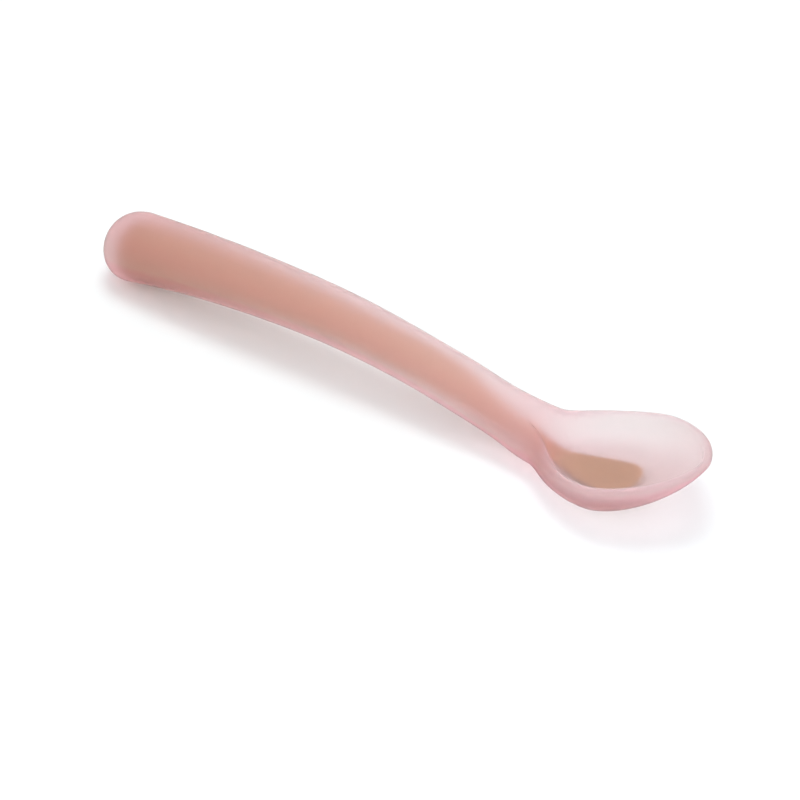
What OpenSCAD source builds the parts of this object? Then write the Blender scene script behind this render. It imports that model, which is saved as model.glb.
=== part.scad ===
// Baby feeding spoon: soft silicone moulded all round a stiff inner core.
// The core fills the handle and ends as a flat tongue in the floor of the bowl.
// Millimetres. +X runs towards the tip of the bowl, +Z is up, and the spoon lies on z = 0
// on its handle end and the back of its bowl, with the origin under the middle of its length.

/* [Handle] */
// Length of the handle, from its round end to the neck
handle_length = 101; // [85:1:115]
// Length over which the handle's end is rounded
end_round = 7.8; // [6.5:0.1:9]
// Width just before the round end
end_width = 14.2; // [12.5:0.1:17]
// Thickness just before the round end
end_thickness = 14.8; // [12.5:0.1:17]
// Width where the palm holds it
grip_width = 13.6; // [12:0.1:16]
// Thickness where the palm holds it
grip_thickness = 11; // [10:0.1:13]
// Height of the handle's middle line above the floor at the palm
grip_height = 10.7; // [9:0.1:13]
// Width at the middle of the handle
middle_width = 12; // [10.5:0.1:14]
// Thickness at the middle of the handle
middle_thickness = 9.8; // [8.8:0.1:12]
// Height of the middle line at the middle of the handle, the top of its arch
middle_height = 11.1; // [9:0.1:14]
// Width at the slimmest place
waist_width = 11.6; // [10:0.1:13]
// Thickness at the slimmest place
waist_thickness = 9.2; // [8.4:0.1:11]
// Height of the middle line at the slimmest place
waist_height = 8.6; // [7:0.1:11]
// Width at the neck
neck_width = 13.2; // [11.5:0.1:15]
// Thickness at the neck
neck_thickness = 10.2; // [9:0.1:11.5]
// Height of the middle line at the neck
neck_height = 5.2; // [4.8:0.1:7]

/* [Bowl] */
// Length of the bowl, from the neck to the tip
bowl_length = 39; // [34:0.5:46]
// Greatest width of the bowl
bowl_width = 28.4; // [24:0.2:34]
// Depth of the underside below the rim's middle at the widest place
bowl_depth = 7.5; // [6.5:0.1:9]
// Depth of the underside below the rim's middle at the throat
throat_depth = 6.6; // [5.8:0.1:7.6]
// Height of the rim's middle at the throat, where the dish has opened
throat_height = 6.7; // [6:0.1:8.5]
// Height of the rim's middle at the widest place
belly_height = 8.8; // [7.5:0.1:11]
// Height of the rim's middle at the tip
tip_height = 13.4; // [10:0.1:17]
// Thickness of the rounded rim
rim_thickness = 1.8; // [1.4:0.1:2.6]
// Thickness of the floor, silicone and tongue together
floor_thickness = 2.4; // [2:0.1:3]

/* [Core] */
// Silicone over the core and at its sides along the handle
handle_cover = 2.5; // [1.8:0.1:3.2]
// Silicone under the core along the handle
under_cover = 1.3; // [0.9:0.1:2]
// Silicone past the core at the handle's end
end_cover = 3.6; // [2.6:0.1:4.5]
// Silicone under the core at the neck
neck_cover = 2; // [1.2:0.1:2.8]
// Length over which the core's handle end is rounded
core_round = 4.4; // [3:0.1:6]
// Thickness of the core at the neck
core_neck_thickness = 3.2; // [2:0.1:4]
// Width of the core at its slimmest, just past the neck
core_waist_width = 3; // [2:0.1:5]
// Greatest width of the tongue
tongue_width = 9.8; // [7:0.1:12]
// Thickness of the tongue
tongue_thickness = 1.2; // [0.8:0.1:1.4]
// Length of the tongue past the neck
tongue_length = 25; // [20:0.5:29]
// Length over which the tongue's end is rounded
tongue_round = 4.6; // [3:0.1:6]

/* [Hidden] */

// Places along the handle, as shares of its length from the round end
end_share = 0.07;
grip_share = 0.35;
middle_share = 0.62;
waist_share = 0.83;
// Places along the bowl, as shares of its length from the neck
throat_share = 0.28;
rim_start_share = -0.1;
scoop_share = 0.03;
deep_share = 0.24;
open_share = 0.43;
belly_share = 0.57;
shoulder_share = 0.09;
core_waist_share = 0.1;
tongue_wide_share = 0.48;
// Powers of the rounded outlines: 2 is an ellipse, and more is squarer
shoulder_power = 1.7;
nose_power = 1.72;
keel_power = 1.57;
under_power = 2.7;
dish_power = 2.4;
tongue_power = 5;
neck_blend_power = 4.2;
// Share of the handle's upper half circle that becomes the rim
rim_angle_share = 0.386;
// Least share of the half width that lies inside the rim
inner_least_share = 0.2;

// Steps of the mesh
rim_steps = 6;
dish_steps = 8;
under_steps = 24;
core_steps = 20;
end_rings = 8;
handle_rings = 26;
neck_rings = 12;
scoop_rings = 11;
belly_rings = 10;
nose_rings = 20;
core_round_rings = 6;
core_handle_rings = 20;
core_tongue_rings = 18;
tongue_round_rings = 8;

// Places in millimetres from the handle's round end
spoon_length = handle_length + bowl_length;
x_end = handle_length * end_share;
x_grip = handle_length * grip_share;
x_middle = handle_length * middle_share;
x_waist = handle_length * waist_share;
x_neck = handle_length;
x_rim_start = x_neck + bowl_length * rim_start_share;
x_scoop = x_neck + bowl_length * scoop_share;
x_deep = x_neck + bowl_length * deep_share;
x_open = x_neck + bowl_length * open_share;
x_throat = x_neck + bowl_length * throat_share;
x_shoulder = x_neck + bowl_length * shoulder_share;
x_belly = x_neck + bowl_length * belly_share;
x_core_start = end_cover;
x_core_full = x_core_start + core_round;
x_core_waist = x_neck + bowl_length * core_waist_share;
x_tongue_wide = x_neck + bowl_length * tongue_wide_share;
x_tongue_end = x_neck + tongue_length;
x_tongue_round = x_tongue_end - tongue_round;
rim_round = rim_thickness / 2;
floor_cover = (floor_thickness - tongue_thickness) / 2;
handle_covers = handle_cover + under_cover;

// Smooth step from 0 to 1
function ease(u) = let (t = min(1, max(0, u))) t * t * (3 - 2 * t);

// Quarter of a rounded outline: 1 at the middle, 0 at the end
function rounded(u, power) = pow(max(0, 1 - pow(min(1, abs(u)), power)), 1 / power);

// A smooth curve through hand-placed [x, value] points
function chord(p, i) = (p[i + 1][1] - p[i][1]) / (p[i + 1][0] - p[i][0]);
function run(p, i) = p[i + 1][0] - p[i][0];
function middle_slope(p, i) =
    (run(p, i - 1) * chord(p, i) + run(p, i) * chord(p, i - 1)) / (run(p, i - 1) + run(p, i));
function slope(p, i) =
    i == 0 ? 2 * chord(p, 0) - middle_slope(p, 1) :
    i == len(p) - 1 ? 2 * chord(p, i - 1) - middle_slope(p, i - 1) :
    middle_slope(p, i);
function curve(p) = [for (i = [0:len(p) - 1]) [p[i][0], p[i][1], slope(p, i)]];
function span(c, x, i = 0) = i >= len(c) - 2 || x < c[i + 1][0] ? i : span(c, x, i + 1);
function along(c, x) =
    let (i = span(c, x), a = c[i], b = c[i + 1], h = b[0] - a[0], t = (x - a[0]) / h, s = 1 - t)
    a[1] * (1 + 2 * t) * s * s + h * a[2] * t * s * s + b[1] * t * t * (3 - 2 * t) - h * b[2] * t * t * s;

// Plan, side and thickness curves of the silicone
width_curve = curve([
    [x_end, end_width / 2], [x_grip, grip_width / 2], [x_middle, middle_width / 2],
    [x_waist, waist_width / 2], [x_neck, neck_width / 2], [x_belly, neck_width / 2]]);
edge_curve = curve([
    [x_end, end_thickness / 2], [x_grip, grip_height], [x_middle, middle_height], [x_waist, waist_height],
    [x_neck, neck_height], [x_throat, throat_height], [x_belly, belly_height], [spoon_length, tip_height]]);
depth_curve = curve([
    [x_end, end_thickness / 2], [x_grip, grip_thickness / 2], [x_middle, middle_thickness / 2],
    [x_waist, waist_thickness / 2], [x_neck, neck_thickness / 2], [x_throat, throat_depth],
    [x_belly, bowl_depth], [spoon_length, bowl_depth]]);

function end_cap(x) = rounded(max(0, end_round - x) / end_round, 2);
function nose(x, end) = rounded(max(0, x - x_belly) / (end - x_belly), keel_power);
// How far the handle's sides have turned into the rim, and its top into the floor of the dish
function rim_share(x) = ease((x - x_rim_start) / (x_open - x_rim_start));
function dip_share(x) = ease((x - x_scoop) / (x_deep - x_scoop));
function egg(x) = bowl_width / 2 * (x < x_belly
    ? rounded((x_belly - x) / (x_belly - x_shoulder), shoulder_power)
    : rounded((x - x_belly) / (spoon_length - x_belly), nose_power));
function stem(x) = along(width_curve, min(x, x_belly)) * (1 - ease((x - x_throat) / (x_belly - x_throat)));
function half_width(x) =
    end_cap(x) * pow(pow(stem(x), neck_blend_power) + pow(egg(x), neck_blend_power), 1 / neck_blend_power);
function edge(x) = along(edge_curve, x);
function keel(x) = nose(x, spoon_length) * along(depth_curve, x);
function under(x) = end_cap(x) * keel(x);
function rim_rise(x) = rim_round * rounded(max(0, x - spoon_length + rim_round) / rim_round, 2);
// Height of the rim's inner foot: 0 along the sides, the round of the rim where it crosses the tip
function rim_foot(x) = rim_round * rounded((x - spoon_length + rim_round) / rim_round, 2);
function crown(x) = end_cap(x) * along(depth_curve, min(x, x_neck));
function under_power_at(x) = 2 + (under_power - 2) * rim_share(x);
// Depth of the dish's middle line below the rim's middle
function dish(x) = (along(depth_curve, x) - floor_thickness) * nose(x, spoon_length - rim_thickness);

// Half width inside the rim, which keeps its thickness round the tip
function inner_half_width(x) = max(
    half_width(x) * inner_least_share,
    x < x_belly
        ? half_width(x) - rim_thickness
        : (bowl_width / 2 - rim_thickness)
            * rounded((x - x_belly) / (spoon_length - rim_thickness - x_belly), nose_power));

// Cross-section of the silicone as [y, z], right rim first, over the top, then under
function half_top(x) =
    let (
        w = half_width(x), inner = inner_half_width(x), r = (w - inner) / 2, z = edge(x), k = rim_share(x),
        crown_z = (1 - k) * crown(x), drop = dip_share(x) * (crown_z + dish(x)),
        rise = rim_rise(x), foot = rim_foot(x), rim_angle = 180 * rim_angle_share)
    concat(
        [for (i = [0:rim_steps])
            let (a = 180 * i / rim_steps, turn = rim_angle * i / rim_steps, low = a <= 90 ? 0 : foot)
            [(1 - k) * w * cos(turn) + k * (w - r + r * cos(a)),
                z + crown_z * sin(turn) + k * (low + (rise - low) * sin(a))]],
        [for (i = [1:dish_steps])
            let (c = cos(90 * i / dish_steps), turn = rim_angle + (90 - rim_angle) * i / dish_steps)
            [(1 - k) * w * cos(turn) + k * inner * c,
                z + crown_z * sin(turn) + k * foot - drop * rounded(c, dish_power)]]);
function skin_section(x) =
    let (half = half_top(x), w = half_width(x), z = edge(x), depth = under(x), power = under_power_at(x))
    concat(
        half,
        [for (i = [len(half) - 2:-1:0]) [-half[i][0], half[i][1]]],
        [for (i = [1:under_steps - 1])
            let (c = -cos(180 * i / under_steps))
            [w * c, z - depth * rounded(c, power)]]);

// Width and thickness of the core
core_width_curve = curve([
    [x_end, end_width / 2 - handle_cover], [x_grip, grip_width / 2 - handle_cover],
    [x_middle, middle_width / 2 - handle_cover], [x_waist, waist_width / 2 - handle_cover],
    [x_core_waist, core_waist_width / 2], [x_tongue_wide, tongue_width / 2],
    [spoon_length, tongue_width / 2]]);
function core_ends(x, from_end) =
    rounded(max(0, x_core_full - x) / core_round, 2)
    * rounded(max(0, x - x_tongue_end + from_end) / from_end, 2);
core_thickness_curve = curve([
    [x_end, (end_thickness - handle_covers) / 2], [x_grip, (grip_thickness - handle_covers) / 2],
    [x_middle, (middle_thickness - handle_covers) / 2], [x_waist, (waist_thickness - handle_covers) / 2],
    [x_neck, core_neck_thickness / 2]]);
// How far the stem has thinned into the tongue
function tongue_share(x) = ease((x - x_neck) / (x_deep - x_neck));
function core_half_width(x) = core_ends(x, tongue_round) * along(core_width_curve, x);
function core_depth(x) =
    let (share = tongue_share(x))
    (1 - share) * along(core_thickness_curve, min(x, x_neck)) + share * tongue_thickness / 2;
// Silicone under the core, from the handle to the floor of the bowl
function cover_below(x) =
    let (
        share = tongue_share(x), sink = ease((x - x_middle) / (x_neck - x_middle)),
        stem_cover = (1 - sink) * under_cover + sink * neck_cover)
    (1 - share) * stem_cover + share * floor_cover;
// Height of the core's middle, level across the stem and following the bowl across the tongue
function core_middle(x, y) =
    edge(x) - keel(x) * rounded(y * tongue_share(x) / half_width(x), under_power_at(x)) + cover_below(x)
    + core_depth(x);
function core_section(x) =
    let (
        w = core_half_width(x), t = core_ends(x, tongue_thickness / 2) * core_depth(x),
        power = 2 + (tongue_power - 2) * tongue_share(x))
    [for (i = [0:core_steps - 1]) let (a = 360 * i / core_steps, y = w * cos(a))
        [y, core_middle(x, y) + sign(sin(a)) * t * rounded(cos(a), power)]];

// Stations of the cross-sections, closer together where the form turns
skin_stations = concat(
    [for (i = [1:end_rings]) end_round * (1 - cos(90 * i / end_rings))],
    [for (i = [1:handle_rings]) end_round + (x_waist - end_round) * i / handle_rings],
    [for (i = [1:neck_rings]) x_waist + (x_scoop - x_waist) * i / neck_rings],
    [for (i = [1:scoop_rings]) x_scoop + (x_deep - x_scoop) * i / scoop_rings],
    [for (i = [1:belly_rings]) x_deep + (x_belly - x_deep) * i / belly_rings],
    [for (i = [1:nose_rings - 1]) x_belly + (spoon_length - x_belly) * sin(90 * i / nose_rings)]);
core_stations = concat(
    [for (i = [1:core_round_rings]) x_core_start + core_round * (1 - cos(90 * i / core_round_rings))],
    [for (i = [1:core_handle_rings]) x_core_full + (x_neck - x_core_full) * i / core_handle_rings],
    [for (i = [1:core_tongue_rings]) x_neck + (x_tongue_round - x_neck) * i / core_tongue_rings],
    [for (i = [1:tongue_round_rings - 1])
        x_tongue_round + tongue_round * sin(90 * i / tongue_round_rings)]);
floor_z = min([for (x = skin_stations) edge(x) - under(x)]);

// Closed loft through the sections, with a pole point at each end
module loft(stations, sections, first_pole, last_pole) {
    sides = len(sections[0]);
    points = concat(
        [first_pole],
        [for (j = [0:len(stations) - 1], p = sections[j]) [stations[j], p[0], p[1]]],
        [last_pole]);
    last_ring = 1 + (len(stations) - 1) * sides;
    faces = concat(
        [for (i = [0:sides - 1]) [0, 1 + i, 1 + (i + 1) % sides]],
        [for (j = [0:len(stations) - 2], i = [0:sides - 1])
            let (a = 1 + j * sides + i, b = 1 + j * sides + (i + 1) % sides)
            each [[a, a + sides, b + sides], [a, b + sides, b]]],
        [for (i = [0:sides - 1]) [len(points) - 1, last_ring + (i + 1) % sides, last_ring + i]]);
    translate([-spoon_length / 2, 0, -floor_z])
        polyhedron(points, faces);
}

module core_form() {
    loft(
        core_stations, [for (x = core_stations) core_section(x)],
        [x_core_start, 0, core_middle(x_core_start, 0)], [x_tongue_end, 0, core_middle(x_tongue_end, 0)]);
}

module silicone_overmould() {
    color([0.93, 0.74, 0.72, 0.6])
        difference() {
            loft(
                skin_stations, [for (x = skin_stations) skin_section(x)],
                [0, 0, edge(0)], [spoon_length, 0, tip_height]);
            core_form();
        }
}

module stiffening_core() {
    color([0.73, 0.52, 0.45])
        core_form();
}

silicone_overmould();
stiffening_core();
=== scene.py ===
"""Baby feeding spoon: satin translucent silicone moulded over a tan core, on a pale studio floor."""

import logging
import math
from dataclasses import dataclass, field
from enum import Enum
from typing import Optional, Sequence, Union

import bpy
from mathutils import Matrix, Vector


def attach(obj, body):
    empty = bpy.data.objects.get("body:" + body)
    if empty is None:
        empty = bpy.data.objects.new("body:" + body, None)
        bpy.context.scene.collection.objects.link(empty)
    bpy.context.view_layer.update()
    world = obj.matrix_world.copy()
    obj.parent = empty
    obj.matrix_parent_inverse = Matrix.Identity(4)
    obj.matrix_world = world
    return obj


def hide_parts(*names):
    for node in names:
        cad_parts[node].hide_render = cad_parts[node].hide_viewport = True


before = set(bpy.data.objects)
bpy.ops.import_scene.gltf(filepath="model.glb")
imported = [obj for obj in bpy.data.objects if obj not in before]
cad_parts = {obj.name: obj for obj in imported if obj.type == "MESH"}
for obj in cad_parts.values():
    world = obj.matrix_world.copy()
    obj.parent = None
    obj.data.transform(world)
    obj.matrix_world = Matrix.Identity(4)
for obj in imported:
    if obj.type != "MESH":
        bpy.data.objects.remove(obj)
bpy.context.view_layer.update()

LOG = logging.getLogger("spoon")
MM = 0.001
QUARTER = math.pi / 2
MIX_FACTOR, MIX_FIRST, MIX_SECOND, MIX_RESULT = 0, 6, 7, 2

Colour = tuple[float, float, float, float]
Place = tuple[float, float, float]
Point = tuple[float, float]
Number = Union[int, float, "Value"]


class Slot(Enum):
    """The record's material slots."""

    SILICONE = "silicone"
    CORE = "core_plastic"


class Node(Enum):
    """The CAD nodes that the pieces stand for."""

    SKIN = "silicone_overmould"
    CORE = "stiffening_core"


class Value:
    """A shader socket on which Python's operators add Math nodes."""

    def __init__(self, sheet: "ShaderSheet", socket: bpy.types.NodeSocket) -> None:
        """Keeps the socket and the sheet that it is on."""
        self.sheet = sheet
        self.socket = socket

    def _math(self, operation: str, first: Number, second: Number) -> "Value":
        """Adds one Math node.

        Args:
            operation: the Math node's operation.
            first: its first number or value.
            second: its second number or value.

        Returns:
            The node's result.
        """
        return self.sheet.node("ShaderNodeMath", {"operation": operation}, {0: first, 1: second})

    def __add__(self, other: Number) -> "Value":
        """This plus another."""
        return self._math("ADD", self, other)

    def __radd__(self, other: Number) -> "Value":
        """Another plus this."""
        return self._math("ADD", other, self)

    def __sub__(self, other: Number) -> "Value":
        """This less another."""
        return self._math("SUBTRACT", self, other)

    def __mul__(self, other: Number) -> "Value":
        """This times another."""
        return self._math("MULTIPLY", self, other)


class ShaderSheet:
    """A material's node tree, with one way to add a node."""

    per_metre: float = 7.0
    bump_distance: float = 0.0001

    def __init__(self, name: str) -> None:
        """Makes an empty material.

        Args:
            name: the material's name.
        """
        self.material = bpy.data.materials.new(name)
        self.material.use_nodes = True
        self.tree = self.material.node_tree
        self.tree.nodes.clear()

    def node(
        self,
        kind: str,
        settings: Optional[dict] = None,
        inputs: Optional[dict] = None,
        output: Union[int, str] = 0,
    ) -> Value:
        """Adds a node.

        Args:
            kind: the node's type.
            settings: its own settings, which are set first.
            inputs: the numbers, colours or links of its sockets, by name or place.
            output: the socket that is handed back.

        Returns:
            That output socket, wrapped.
        """
        made = self.tree.nodes.new(kind)
        for key, setting in (settings or {}).items():
            if key == "stops":
                self._set_stops(made.color_ramp, setting)
            else:
                setattr(made, key, setting)
        for key, value in (inputs or {}).items():
            if isinstance(value, Value):
                self.tree.links.new(value.socket, made.inputs[key])
            else:
                made.inputs[key].default_value = value
        return Value(self, made.outputs[output] if len(made.outputs) else made.inputs[0])

    @staticmethod
    def _set_stops(ramp: bpy.types.ColorRamp, stops: Sequence[tuple[float, Colour]]) -> None:
        """Gives a colour ramp its stops.

        Args:
            ramp: the ramp.
            stops: the place and colour of each stop, in order.
        """
        while len(ramp.elements) < len(stops):
            ramp.elements.new(1.0)
        for element, (place, colour) in zip(ramp.elements, stops):
            element.position = place
            element.color = colour

    def object_noise(self, scale: float, detail: float, roughness: float = 0.5) -> Value:
        """Smooth noise in the object's own coordinates.

        Args:
            scale: patches to the metre.
            detail: octaves.
            roughness: weight of the finer octaves.

        Returns:
            The noise, from 0 to 1.
        """
        place = self.node("ShaderNodeTexCoord", output="Object")
        return self.node(
            "ShaderNodeTexNoise", {"noise_dimensions": "3D"},
            {"Vector": place, "Scale": scale, "Detail": detail, "Roughness": roughness})

    def along_spoon(self) -> Value:
        """Finds how far along the spoon a place lies.

        Returns:
            The share, near 0 at the handle's end and near 1 at the tip.
        """
        place = self.node("ShaderNodeTexCoord", output="Object")
        along = self.node("ShaderNodeSeparateXYZ", None, {"Vector": place}, "X")
        return along * self.per_metre + 0.5

    def finish(self, surface: Value, volume: Optional[Value] = None) -> bpy.types.Material:
        """Links the output node.

        Args:
            surface: the surface shader.
            volume: the volume shader, if the material is clear.

        Returns:
            The finished material.
        """
        links: dict = {"Surface": surface}
        if volume is not None:
            links["Volume"] = volume
        self.node("ShaderNodeOutputMaterial", None, links)
        return self.material


@dataclass(frozen=True)
class SiliconeFinish:
    """Frosted pink silicone that shows what is under it."""

    # Facing tint: the silicone's own pink, deeper on faces turned sideways and pale on faces turned up
    # and faces turned down; this change with facing is painted light and shade.
    pale: Colour = (0.955, 0.95, 0.948, 1.0)
    pink: Colour = (1.0, 0.81, 0.875, 1.0)
    # Multiplied along the spoon: the end's and the bowl's colours are painted shade, darkening the
    # handle's end where it rests on the floor and the bowl, where the floor seen through it lies in
    # shadow; the grip's colour is a deeper tan.
    end_painted_shade: Colour = (0.91, 0.84, 0.82, 1.0)
    grip_shade: Colour = (0.985, 0.965, 0.94, 1.0)
    handle_shade: Colour = (1.0, 1.0, 1.0, 1.0)
    bowl_painted_shade: Colour = (0.965, 0.945, 0.94, 1.0)
    tint_places: tuple[float, ...] = (0.0, 0.2, 0.4, 0.52)
    shade_places: tuple[float, ...] = (0.03, 0.1, 0.45, 0.72, 0.84)
    cloud: float = 0.08
    cloud_scale: float = 140.0
    satin: float = 0.86
    satin_spread: float = 0.10
    frost_scale: float = 900.0
    grain: float = 0.02
    grain_scale: float = 4200.0
    clear_share: float = 0.94
    bend: float = 1.41
    absorbs: Colour = (0.96, 0.70, 0.72, 1.0)
    density: float = 100.0

    def material(self) -> bpy.types.Material:
        """Builds the silicone: tinted by facing, which paints light and shade, and along the spoon,
        with painted shade at the handle's end and over the bowl; frosted, and absorbing inside.

        Returns:
            The material.
        """
        sheet = ShaderSheet("silicone_satin")
        # Painted light and shade: the tint follows which way each face turns, pink on the sides, pale
        # on top and underneath.
        facing = sheet.node("ShaderNodeTexCoord", output="Normal")
        rise = sheet.node("ShaderNodeSeparateXYZ", None, {"Vector": facing}, "Z")
        cloud = (sheet.object_noise(self.cloud_scale, detail=3.0) - 0.5) * self.cloud
        tints = (self.pale, self.pink, self.pink, self.pale)
        tint = sheet.node(
            "ShaderNodeValToRGB",
            {"stops": list(zip(self.tint_places, tints))},
            {"Fac": rise * 0.5 + 0.5 + cloud})
        # Painted shade at the handle's end and over the bowl, a deeper tan at the grip, no change along
        # the rest of the handle.
        handle = self.handle_shade
        shades = (self.end_painted_shade, self.grip_shade, handle, handle, self.bowl_painted_shade)
        shade = sheet.node(
            "ShaderNodeValToRGB",
            {"stops": list(zip(self.shade_places, shades))},
            {"Fac": sheet.along_spoon()})
        shaded = sheet.node(
            "ShaderNodeMix", {"data_type": "RGBA", "blend_type": "MULTIPLY"},
            {MIX_FACTOR: 1.0, MIX_FIRST: tint, MIX_SECOND: shade}, MIX_RESULT)
        frost = sheet.object_noise(self.frost_scale, detail=4.0, roughness=0.6)
        roughness = self.satin + (frost - 0.5) * self.satin_spread
        skin = sheet.object_noise(self.grain_scale, detail=2.0, roughness=0.6)
        relief = sheet.node(
            "ShaderNodeBump", None,
            {"Strength": self.grain, "Distance": sheet.bump_distance, "Height": skin})
        surface = sheet.node(
            "ShaderNodeBsdfPrincipled", None,
            {"Base Color": shaded, "Roughness": roughness, "IOR": self.bend, "Normal": relief,
             "Transmission Weight": self.clear_share})
        volume = sheet.node(
            "ShaderNodeVolumeAbsorption", None, {"Color": self.absorbs, "Density": self.density})
        return sheet.finish(surface, volume)


@dataclass(frozen=True)
class CoreFinish:
    """Matt tan plastic with a faint moulded cloud."""

    # One tan plastic: darker at the butt and the tongue is painted shade, lighter at the neck is
    # painted light.
    butt: Colour = (0.55, 0.32, 0.222, 1.0)
    stem: Colour = (0.605, 0.365, 0.258, 1.0)
    neck: Colour = (0.67, 0.42, 0.322, 1.0)
    tongue: Colour = (0.56, 0.335, 0.21, 1.0)
    tint_places: tuple[float, ...] = (0.1, 0.4, 0.66, 0.74, 0.8)
    cloud: float = 0.06
    cloud_scale: float = 90.0
    matt: float = 0.55
    matt_spread: float = 0.12
    grain: float = 0.05
    grain_scale: float = 2600.0

    def material(self) -> bpy.types.Material:
        """Builds the core's plastic: tinted along its length, darker at the butt and the tongue as
        painted shade and lighter at the neck as painted light, with a fine moulded grain.

        Returns:
            The material.
        """
        sheet = ShaderSheet("core_tan")
        cloud = (sheet.object_noise(self.cloud_scale, detail=4.0) - 0.5) * self.cloud
        # Painted shade and light along the core, with a faint cloud of tone on top.
        tints = (self.butt, self.stem, self.neck, self.neck, self.tongue)
        tint = sheet.node(
            "ShaderNodeValToRGB",
            {"stops": list(zip(self.tint_places, tints))},
            {"Fac": sheet.along_spoon() + cloud})
        fine = sheet.object_noise(self.grain_scale, detail=3.0)
        roughness = self.matt + (fine - 0.5) * self.matt_spread
        relief = sheet.node(
            "ShaderNodeBump", None,
            {"Strength": self.grain, "Distance": sheet.bump_distance, "Height": fine})
        surface = sheet.node(
            "ShaderNodeBsdfPrincipled", None,
            {"Base Color": tint, "Roughness": roughness, "Normal": relief})
        return sheet.finish(surface)


@dataclass(frozen=True)
class FloorFinish:
    """Plain white studio floor."""

    white: Colour = (0.905, 0.965, 0.972, 1.0)
    matt: float = 0.8
    matt_spread: float = 0.1
    cloud_scale: float = 6.0
    gloss: float = 0.1

    def material(self) -> bpy.types.Material:
        """Builds the floor's matt white.

        Returns:
            The material.
        """
        sheet = ShaderSheet("floor_white")
        cloud = sheet.object_noise(self.cloud_scale, detail=2.0)
        roughness = self.matt + (cloud - 0.5) * self.matt_spread
        surface = sheet.node(
            "ShaderNodeBsdfPrincipled", None,
            {"Base Color": self.white, "Roughness": roughness, "Specular IOR Level": self.gloss})
        return sheet.finish(surface)


def ease(u: float) -> float:
    """Smooth step from 0 to 1."""
    t = min(1.0, max(0.0, u))
    return t * t * (3.0 - 2.0 * t)


def rounded(u: float, power: float) -> float:
    """Quarter of a rounded outline: 1 at the middle, 0 at the end."""
    return max(0.0, 1.0 - min(1.0, abs(u)) ** power) ** (1.0 / power)


class Curve:
    """A smooth curve through given points."""

    def __init__(self, points: Sequence[Point]) -> None:
        """Works out the slope at each point.

        Args:
            points: the points, in order along x.
        """
        self.x = [p[0] for p in points]
        self.y = [p[1] for p in points]
        run = [b - a for a, b in zip(self.x, self.x[1:])]
        chord = [(b - a) / h for a, b, h in zip(self.y, self.y[1:], run)]
        inner = [
            (run[i - 1] * chord[i] + run[i] * chord[i - 1]) / (run[i - 1] + run[i])
            for i in range(1, len(run))]
        self.slope = [2 * chord[0] - inner[0], *inner, 2 * chord[-1] - inner[-1]]

    def at(self, x: float) -> float:
        """Reads the curve.

        Args:
            x: the place along it.

        Returns:
            Its value there.
        """
        i = 0
        while i < len(self.x) - 2 and x >= self.x[i + 1]:
            i += 1
        h = self.x[i + 1] - self.x[i]
        t = (x - self.x[i]) / h
        s = 1.0 - t
        return (
            self.y[i] * (1 + 2 * t) * s * s + h * self.slope[i] * t * s * s
            + self.y[i + 1] * t * t * (3 - 2 * t) - h * self.slope[i + 1] * t * t * s)


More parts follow.
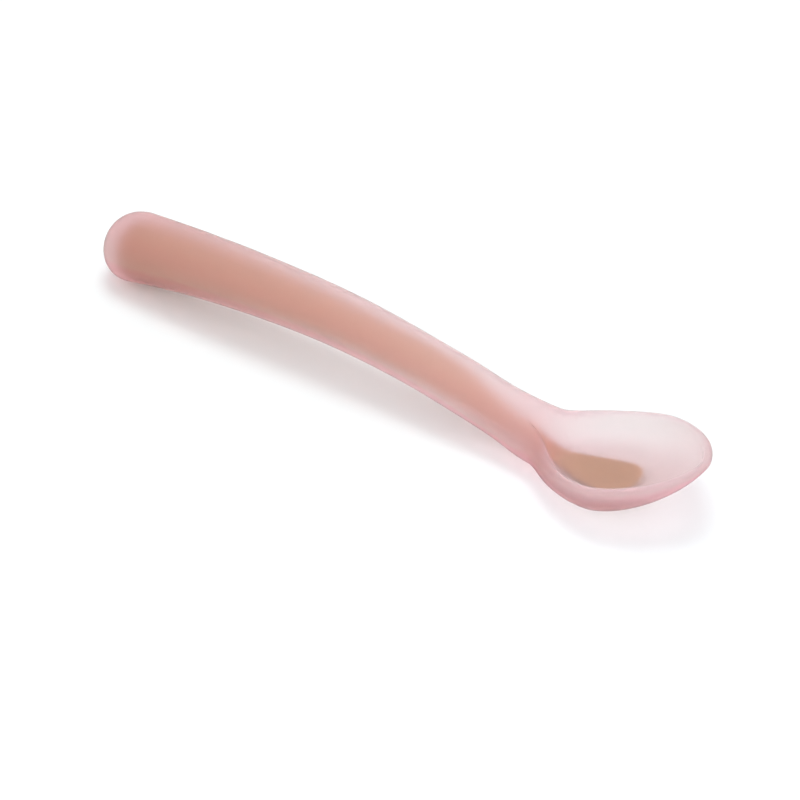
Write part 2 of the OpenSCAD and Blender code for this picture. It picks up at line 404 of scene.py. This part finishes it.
@dataclass
class SpoonForm:
    """Sizes of the spoon in millimetres, from the handle's end, and its surfaces."""

    handle_length: float = 101.0
    end_round: float = 7.8
    widths: tuple[float, ...] = (14.2, 13.6, 12.0, 11.6, 13.2)
    thicknesses: tuple[float, ...] = (14.8, 11.0, 9.8, 9.2, 10.2)
    heights: tuple[float, ...] = (10.7, 11.1, 8.6, 5.2)
    handle_shares: tuple[float, ...] = (0.07, 0.35, 0.62, 0.83)
    bowl_length: float = 39.0
    bowl_width: float = 28.4
    bowl_depth: float = 7.5
    throat_depth: float = 6.6
    throat_height: float = 6.7
    belly_height: float = 8.8
    tip_height: float = 13.4
    rim_thickness: float = 1.8
    floor_thickness: float = 2.4
    throat_share: float = 0.28
    rim_start_share: float = -0.1
    scoop_share: float = 0.03
    deep_share: float = 0.24
    open_share: float = 0.43
    belly_share: float = 0.57
    shoulder_share: float = 0.09
    shoulder_power: float = 1.7
    nose_power: float = 1.72
    keel_power: float = 1.57
    under_power: float = 2.7
    dish_power: float = 2.4
    neck_blend_power: float = 4.2
    rim_angle_share: float = 0.386
    inner_least_share: float = 0.2
    fair_start: float = 84.0
    fair_middle: float = 96.5
    fair_end: float = 105.5
    fair_rise: float = 0.3
    fair_lift: float = 1.0
    fair_slim_share: float = 0.06
    floor_steps: int = 2000

    def __post_init__(self) -> None:
        """Places the stations and the curves through them."""
        self.length = self.handle_length + self.bowl_length
        ends = [self.handle_length * s for s in self.handle_shares]
        self.x_waist = ends[3]
        self.x_neck = self.handle_length
        self.x_throat = self.in_bowl(self.throat_share)
        self.x_belly = self.in_bowl(self.belly_share)
        self.x_shoulder = self.in_bowl(self.shoulder_share)
        self.x_scoop = self.in_bowl(self.scoop_share)
        self.x_deep = self.in_bowl(self.deep_share)
        stations = [*ends, self.x_neck]
        self.width_curve = Curve([
            *((x, w / 2) for x, w in zip(stations, self.widths)), (self.x_belly, self.widths[-1] / 2)])
        self.edge_curve = Curve([
            (ends[0], self.thicknesses[0] / 2), *zip(stations[1:], self.heights),
            (self.x_throat, self.throat_height), (self.x_belly, self.belly_height),
            (self.length, self.tip_height)])
        self.depth_curve = Curve([
            *((x, t / 2) for x, t in zip(stations, self.thicknesses)),
            (self.x_throat, self.throat_depth), (self.x_belly, self.bowl_depth),
            (self.length, self.bowl_depth)])
        places = [self.length * i / self.floor_steps for i in range(1, self.floor_steps)]
        self.floor_z = min(self.skin_edge(x) - self.under(x) for x in places)

    def in_bowl(self, share: float) -> float:
        """The place that is this share of the bowl's length past the neck."""
        return self.handle_length + self.bowl_length * share

    def end_cap(self, x: float) -> float:
        """Rounds the handle's end: 0 at its pole, 1 past it."""
        return rounded(max(0.0, self.end_round - x) / self.end_round, 2.0)

    def nose(self, x: float, end: float) -> float:
        """Rounds the bowl's keel towards its end."""
        return rounded(max(0.0, x - self.x_belly) / (end - self.x_belly), self.keel_power)

    def rim_share(self, x: float) -> float:
        """How far the handle's sides have turned into the rim."""
        start, full = self.in_bowl(self.rim_start_share), self.in_bowl(self.open_share)
        return ease((x - start) / (full - start))

    def dip_share(self, x: float) -> float:
        """How far the handle's top has turned into the floor of the dish."""
        return ease((x - self.x_scoop) / (self.x_deep - self.x_scoop))

    def half_width(self, x: float) -> float:
        """Works out half the spoon's width, the handle's blended with the bowl's.

        Args:
            x: the place along the spoon.

        Returns:
            Half the width there.
        """
        half = self.bowl_width / 2
        if x < self.x_belly:
            reach = self.x_belly - self.x_shoulder
            egg = half * rounded((self.x_belly - x) / reach, self.shoulder_power)
        else:
            reach = self.length - self.x_belly
            egg = half * rounded((x - self.x_belly) / reach, self.nose_power)
        fade = 1.0 - ease((x - self.x_throat) / (self.x_belly - self.x_throat))
        stem = self.width_curve.at(min(x, self.x_belly)) * fade
        power = self.neck_blend_power
        return self.end_cap(x) * (stem ** power + egg ** power) ** (1.0 / power)

    def fairing(self, x: float) -> float:
        """How far the skin is drawn in under the neck: 1 at its middle, 0 at both ends."""
        into = ease((x - self.fair_start) / (self.fair_middle - self.fair_start))
        return into - ease((x - self.fair_middle) / (self.fair_end - self.fair_middle))

    def skin_half_width(self, x: float) -> float:
        """Half the skin's width, drawn in at the neck."""
        return self.half_width(x) * (1.0 - self.fair_slim_share * self.fairing(x))

    def inner_half_width(self, x: float) -> float:
        """Works out half the width inside the rim, which keeps its thickness round the tip.

        Args:
            x: the place along the spoon.

        Returns:
            Half the inner width there.
        """
        least = self.skin_half_width(x) * self.inner_least_share
        if x < self.x_belly:
            return max(least, self.skin_half_width(x) - self.rim_thickness)
        reach = self.length - self.rim_thickness - self.x_belly
        inner = self.bowl_width / 2 - self.rim_thickness
        return max(least, inner * rounded((x - self.x_belly) / reach, self.nose_power))

    def edge(self, x: float) -> float:
        """Height of the section's middle line."""
        return self.edge_curve.at(x)

    def skin_edge(self, x: float) -> float:
        """Height of the skin's middle line, raised at the neck."""
        return self.edge(x) + self.fair_rise * self.fairing(x)

    def keel(self, x: float) -> float:
        """Depth of the underside below the middle line, before the handle's end is rounded."""
        return self.nose(x, self.length) * self.depth_curve.at(x)

    def under(self, x: float) -> float:
        """Depth of the skin's underside below its middle line, lifted at the neck."""
        return self.end_cap(x) * self.keel(x) - self.fair_lift * self.fairing(x)

    def crown(self, x: float) -> float:
        """Height of the handle's top above the middle line."""
        return self.end_cap(x) * self.depth_curve.at(min(x, self.x_neck))

    def dish(self, x: float) -> float:
        """Depth of the dish's middle below the rim's middle."""
        end = self.length - self.rim_thickness
        return (self.depth_curve.at(x) - self.floor_thickness) * self.nose(x, end)

    def under_power_at(self, x: float) -> float:
        """Power of the underside's outline."""
        return 2.0 + (self.under_power - 2.0) * self.rim_share(x)

    def place(self, x: float, point: Point) -> Vector:
        """A section's point in the part's frame, in metres."""
        return Vector((x - self.length / 2, point[0], point[1] - self.floor_z)) * MM


def turn_into_loft(
    rings: Sequence[Sequence[Vector]], poles: tuple[Vector, Vector], name: str
) -> bpy.types.Object:
    """Adds a ball and draws each of its rings out to a section.

    Args:
        rings: the sections, from the handle's end to the tip, each with the same number of points.
        poles: the points that close the two ends.
        name: the piece's name.

    Returns:
        The closed piece, with its place in its mesh.
    """
    sides = len(rings[0])
    bpy.ops.object.select_all(action="DESELECT")
    bpy.ops.mesh.primitive_uv_sphere_add(segments=sides, ring_count=len(rings) + 1, radius=1.0)
    piece = bpy.context.object
    piece.name = name
    piece.data.name = name
    for vertex in piece.data.vertices:
        x, y, z = vertex.co
        step = round((math.asin(max(-1.0, min(1.0, z))) / math.pi + 0.5) * (len(rings) + 1))
        if step == 0 or step == len(rings) + 1:
            vertex.co = poles[0] if step == 0 else poles[1]
        else:
            vertex.co = rings[step - 1][round(math.atan2(y, x) / math.tau * sides) % sides]
    bpy.ops.object.mode_set(mode="EDIT")
    bpy.ops.mesh.select_all(action="SELECT")
    bpy.ops.mesh.normals_make_consistent(inside=False)
    bpy.ops.object.mode_set(mode="OBJECT")
    bpy.ops.object.shade_smooth()
    return piece


def smooth_out(piece: bpy.types.Object, levels: int) -> None:
    """Subdivides a piece and applies the modifier.

    Args:
        piece: the piece.
        levels: how many times each face is divided.
    """
    bpy.ops.object.select_all(action="DESELECT")
    piece.select_set(True)
    bpy.context.view_layer.objects.active = piece
    modifier = piece.modifiers.new("smooth", "SUBSURF")
    modifier.levels = modifier.render_levels = levels
    bpy.ops.object.modifier_apply(modifier=modifier.name)


@dataclass
class SiliconeOvermould:
    """The silicone skin: a round handle that opens into a dished bowl."""

    form: SpoonForm
    finish: SiliconeFinish = field(default_factory=SiliconeFinish)
    rim_steps: int = 8
    dish_steps: int = 12
    under_steps: int = 34
    end_rings: int = 14
    handle_rings: int = 36
    neck_rings: int = 16
    scoop_rings: int = 20
    belly_rings: int = 16
    nose_rings: int = 30

    def stations(self) -> list[float]:
        """Places the sections, closer together where the form turns.

        Returns:
            Their places, from the handle's end to the tip.
        """
        form = self.form
        end, waist, belly = form.end_round, form.x_waist, form.x_belly
        scoop, deep = form.x_scoop, form.x_deep
        return [
            *(end * (1 - math.cos(QUARTER * i / self.end_rings)) for i in range(1, self.end_rings + 1)),
            *(end + (waist - end) * i / self.handle_rings for i in range(1, self.handle_rings + 1)),
            *(waist + (scoop - waist) * i / self.neck_rings for i in range(1, self.neck_rings + 1)),
            *(scoop + (deep - scoop) * i / self.scoop_rings for i in range(1, self.scoop_rings + 1)),
            *(deep + (belly - deep) * i / self.belly_rings for i in range(1, self.belly_rings + 1)),
            *(belly + (form.length - belly) * math.sin(QUARTER * i / self.nose_rings)
              for i in range(1, self.nose_rings)),
        ]

    def half_top(self, x: float) -> list[Point]:
        """Draws one side of a section's top: the handle's crown as it turns into rim and dish.

        Args:
            x: the section's place.

        Returns:
            Its points, from the rim to the middle line.
        """
        form = self.form
        w, inner = form.skin_half_width(x), form.inner_half_width(x)
        z, k = form.skin_edge(x), form.rim_share(x)
        r = (w - inner) / 2
        crown = (1 - k) * form.crown(x)
        drop = form.dip_share(x) * (crown + form.dish(x))
        rim_round = form.rim_thickness / 2
        past = (x - form.length + rim_round) / rim_round
        rise, foot = rim_round * rounded(max(0.0, past), 2.0), rim_round * rounded(past, 2.0)
        rim_angle = math.pi * form.rim_angle_share
        points: list[Point] = []
        for i in range(self.rim_steps + 1):
            a, turn = math.pi * i / self.rim_steps, rim_angle * i / self.rim_steps
            low = 0.0 if i <= self.rim_steps / 2 else foot
            points.append((
                (1 - k) * w * math.cos(turn) + k * (w - r + r * math.cos(a)),
                z + crown * math.sin(turn) + k * (low + (rise - low) * math.sin(a))))
        for i in range(1, self.dish_steps + 1):
            c = math.cos(QUARTER * i / self.dish_steps)
            turn = rim_angle + (QUARTER - rim_angle) * i / self.dish_steps
            points.append((
                (1 - k) * w * math.cos(turn) + k * inner * c,
                z + crown * math.sin(turn) + k * foot - drop * rounded(c, form.dish_power)))
        return points

    def section(self, x: float) -> list[Point]:
        """Draws a whole section: from one rim over the top, and back underneath.

        Args:
            x: the section's place.

        Returns:
            Its points, in order.
        """
        form = self.form
        half = self.half_top(x)
        w, z = form.skin_half_width(x), form.skin_edge(x)
        depth, power = form.under(x), form.under_power_at(x)
        far = [(-p[0], p[1]) for p in reversed(half[:-1])]
        turns = [-math.cos(math.pi * i / self.under_steps) for i in range(1, self.under_steps)]
        return [*half, *far, *((w * c, z - depth * rounded(c, power)) for c in turns)]

    def build(self) -> bpy.types.Object:
        """Models the skin.

        Returns:
            The finished, dressed piece.
        """
        form = self.form
        rings = [[form.place(x, p) for p in self.section(x)] for x in self.stations()]
        butt = form.place(0.0, (0.0, form.edge(0.0)))
        tip = form.place(form.length, (0.0, form.tip_height))
        piece = turn_into_loft(rings, (butt, tip), "silicone_skin")
        smooth_out(piece, levels=1)
        piece.data.materials.append(self.finish.material())
        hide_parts(Node.SKIN.value)
        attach(piece, "root")
        return piece


@dataclass
class StiffeningCore:
    """The stiff core: a round stem that thins into a flat tongue."""

    form: SpoonForm
    finish: CoreFinish = field(default_factory=CoreFinish)
    handle_cover: float = 2.5
    under_cover: float = 1.3
    end_cover: float = 3.6
    core_round: float = 4.4
    neck_cover: float = 2.0
    neck_thickness: float = 3.2
    waist_width: float = 3.0
    tongue_width: float = 9.8
    tongue_thickness: float = 1.2
    tongue_length: float = 25.0
    tongue_round: float = 4.6
    waist_share: float = 0.1
    tongue_wide_share: float = 0.48
    tongue_power: float = 5.0
    sides: int = 40
    round_rings: int = 10
    handle_rings: int = 32
    tongue_rings: int = 30
    tip_rings: int = 12

    def __post_init__(self) -> None:
        """Places the core's ends and its width curve."""
        form = self.form
        self.x_start = self.end_cover
        self.x_full = self.x_start + self.core_round
        self.x_end = form.x_neck + self.tongue_length
        self.x_tip = self.x_end - self.tongue_round
        stem = [form.handle_length * s for s in form.handle_shares]
        self.x_middle = stem[2]
        covers = self.handle_cover + self.under_cover
        self.depth_curve = Curve([
            *((x, (t - covers) / 2) for x, t in zip(stem, form.thicknesses)),
            (form.x_neck, self.neck_thickness / 2)])
        self.width_curve = Curve([
            *((x, w / 2 - self.handle_cover) for x, w in zip(stem, form.widths)),
            (form.in_bowl(self.waist_share), self.waist_width / 2),
            (form.in_bowl(self.tongue_wide_share), self.tongue_width / 2),
            (form.length, self.tongue_width / 2)])

    def ends(self, x: float, reach: float) -> float:
        """Rounds both ends of the core.

        Args:
            x: the place along the spoon.
            reach: the length over which the tongue's end is rounded.

        Returns:
            The share that is left there, 0 at both poles.
        """
        return (
            rounded(max(0.0, self.x_full - x) / self.core_round, 2.0)
            * rounded(max(0.0, x - self.x_end + reach) / reach, 2.0))

    def tongue_share(self, x: float) -> float:
        """How far the stem has thinned into the tongue."""
        return ease((x - self.form.x_neck) / (self.form.x_deep - self.form.x_neck))

    def depth(self, x: float) -> float:
        """Works out half the core's thickness, before its ends are rounded.

        Args:
            x: the place along the spoon.

        Returns:
            Half the thickness there.
        """
        share = self.tongue_share(x)
        stem = self.depth_curve.at(min(x, self.form.x_neck))
        return (1 - share) * stem + share * self.tongue_thickness / 2

    def middle(self, x: float, y: float) -> float:
        """Finds the core's middle, level across the stem and following the bowl across the tongue.

        Args:
            x: the place along the spoon.
            y: the place across it.

        Returns:
            The middle's height there.
        """
        form, share = self.form, self.tongue_share(x)
        sink = ease((x - self.x_middle) / (form.x_neck - self.x_middle))
        stem_cover = (1 - sink) * self.under_cover + sink * self.neck_cover
        cover = (1 - share) * stem_cover + share * (form.floor_thickness - self.tongue_thickness) / 2
        under = form.keel(x) * rounded(y * share / form.half_width(x), form.under_power_at(x))
        return form.edge(x) - under + cover + self.depth(x)

    def section(self, x: float) -> list[Point]:
        """Draws a section of the core.

        Args:
            x: the section's place.

        Returns:
            Its points, in order.
        """
        width = self.ends(x, self.tongue_round) * self.width_curve.at(x)
        thick = self.ends(x, self.tongue_thickness / 2) * self.depth(x)
        power = 2.0 + (self.tongue_power - 2.0) * self.tongue_share(x)
        points: list[Point] = []
        for i in range(self.sides):
            a = math.tau * i / self.sides
            y = width * math.cos(a)
            height = thick * rounded(math.cos(a), power)
            points.append((y, self.middle(x, y) + math.copysign(height, math.sin(a))))
        return points

    def stations(self) -> list[float]:
        """Places the sections, closer together at the round ends.

        Returns:
            Their places, from the handle's end to the tongue's.
        """
        neck, full, tip = self.form.x_neck, self.x_full, self.x_tip
        return [
            *(self.x_start + self.core_round * (1 - math.cos(QUARTER * i / self.round_rings))
              for i in range(1, self.round_rings + 1)),
            *(full + (neck - full) * i / self.handle_rings for i in range(1, self.handle_rings + 1)),
            *(neck + (tip - neck) * i / self.tongue_rings for i in range(1, self.tongue_rings + 1)),
            *(tip + self.tongue_round * math.sin(QUARTER * i / self.tip_rings)
              for i in range(1, self.tip_rings)),
        ]

    def build(self) -> bpy.types.Object:
        """Models the core.

        Returns:
            The finished, dressed piece.
        """
        form = self.form
        rings = [[form.place(x, p) for p in self.section(x)] for x in self.stations()]
        poles = tuple(form.place(x, (0.0, self.middle(x, 0.0))) for x in (self.x_start, self.x_end))
        piece = turn_into_loft(rings, poles, "core_stem_and_tongue")
        smooth_out(piece, levels=1)
        piece.data.materials.append(self.finish.material())
        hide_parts(Node.CORE.value)
        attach(piece, "root")
        return piece


@dataclass(frozen=True)
class Panel:
    """A soft square light: where it hangs, its side in metres and its power in watts."""

    name: str
    place: Place
    size: float
    power: float


@dataclass
class Studio:
    """The floor, the soft lights and the camera."""

    floor_size: float = 4.0
    floor_drop: float = 0.00002
    azimuth: float = 36.5
    elevation: float = 37.0
    distance: float = 0.65
    lens: float = 153.5
    sensor: float = 36.0
    nearest: float = 0.01
    target: Place = (0.00315, -0.0018, 0.0)
    world_strength: float = 0.84
    panels: tuple[Panel, ...] = (
        Panel("key_panel", (-0.12, 0.16, 1.0), 0.48, 3.0),
        Panel("front_fill", (0.3, -0.7, 0.6), 0.8, 1.1),
    )
    finish: FloorFinish = field(default_factory=FloorFinish)

    def floor(self) -> bpy.types.Object:
        """Adds the floor, a hair under the spoon.

        Returns:
            The floor.
        """
        bpy.ops.object.select_all(action="DESELECT")
        bpy.ops.mesh.primitive_plane_add(size=self.floor_size)
        piece = bpy.context.object
        piece.name = "floor"
        for vertex in piece.data.vertices:
            vertex.co.z = -self.floor_drop
        piece.data.materials.append(self.finish.material())
        return piece

    def light(self, panel: Panel) -> bpy.types.Object:
        """Adds one soft panel that faces the spoon.

        Args:
            panel: the panel's name, place, size and power.

        Returns:
            The light.
        """
        data = bpy.data.lights.new(panel.name, "AREA")
        data.shape = "SQUARE"
        data.size = panel.size
        data.energy = panel.power
        lamp = bpy.data.objects.new(panel.name, data)
        bpy.context.collection.objects.link(lamp)
        lamp.location = panel.place
        way = Vector(self.target) - Vector(panel.place)
        lamp.rotation_euler = way.to_track_quat("-Z", "Y").to_euler()
        return lamp

    def world(self) -> None:
        """Gives the scene an even white sky."""
        world = bpy.data.worlds.new("studio_white")
        world.use_nodes = True
        sky = world.node_tree.nodes["Background"]
        sky.inputs["Color"].default_value = (1.0, 1.0, 1.0, 1.0)
        sky.inputs["Strength"].default_value = self.world_strength
        bpy.context.scene.world = world
        bpy.context.scene.view_settings.view_transform = "Standard"

    def camera(self) -> bpy.types.Object:
        """Adds the camera at the photograph's angle.

        Returns:
            The camera.
        """
        a, e = math.radians(self.azimuth), math.radians(self.elevation)
        way = Vector((math.sin(a) * math.cos(e), -math.cos(a) * math.cos(e), math.sin(e)))
        data = bpy.data.cameras.new("camera")
        data.lens = self.lens
        data.sensor_width = self.sensor
        data.clip_start = self.nearest
        camera = bpy.data.objects.new("camera", data)
        bpy.context.collection.objects.link(camera)
        camera.location = Vector(self.target) + way * self.distance
        camera.rotation_euler = (-way).to_track_quat("-Z", "Y").to_euler()
        bpy.context.scene.camera = camera
        return camera

    def build(self) -> None:
        """Sets up the whole studio."""
        self.camera()
        self.floor()
        self.world()
        for panel in self.panels:
            self.light(panel)


def main() -> None:
    """Builds the studio and the spoon, and logs each piece's face count."""
    logging.basicConfig(level=logging.INFO, format="%(name)s: %(message)s")
    Studio().build()
    form = SpoonForm()
    for piece in (SiliconeOvermould(form).build(), StiffeningCore(form).build()):
        LOG.info("%s: %d faces", piece.name, len(piece.data.polygons))


if __name__ == "__main__":
    main()
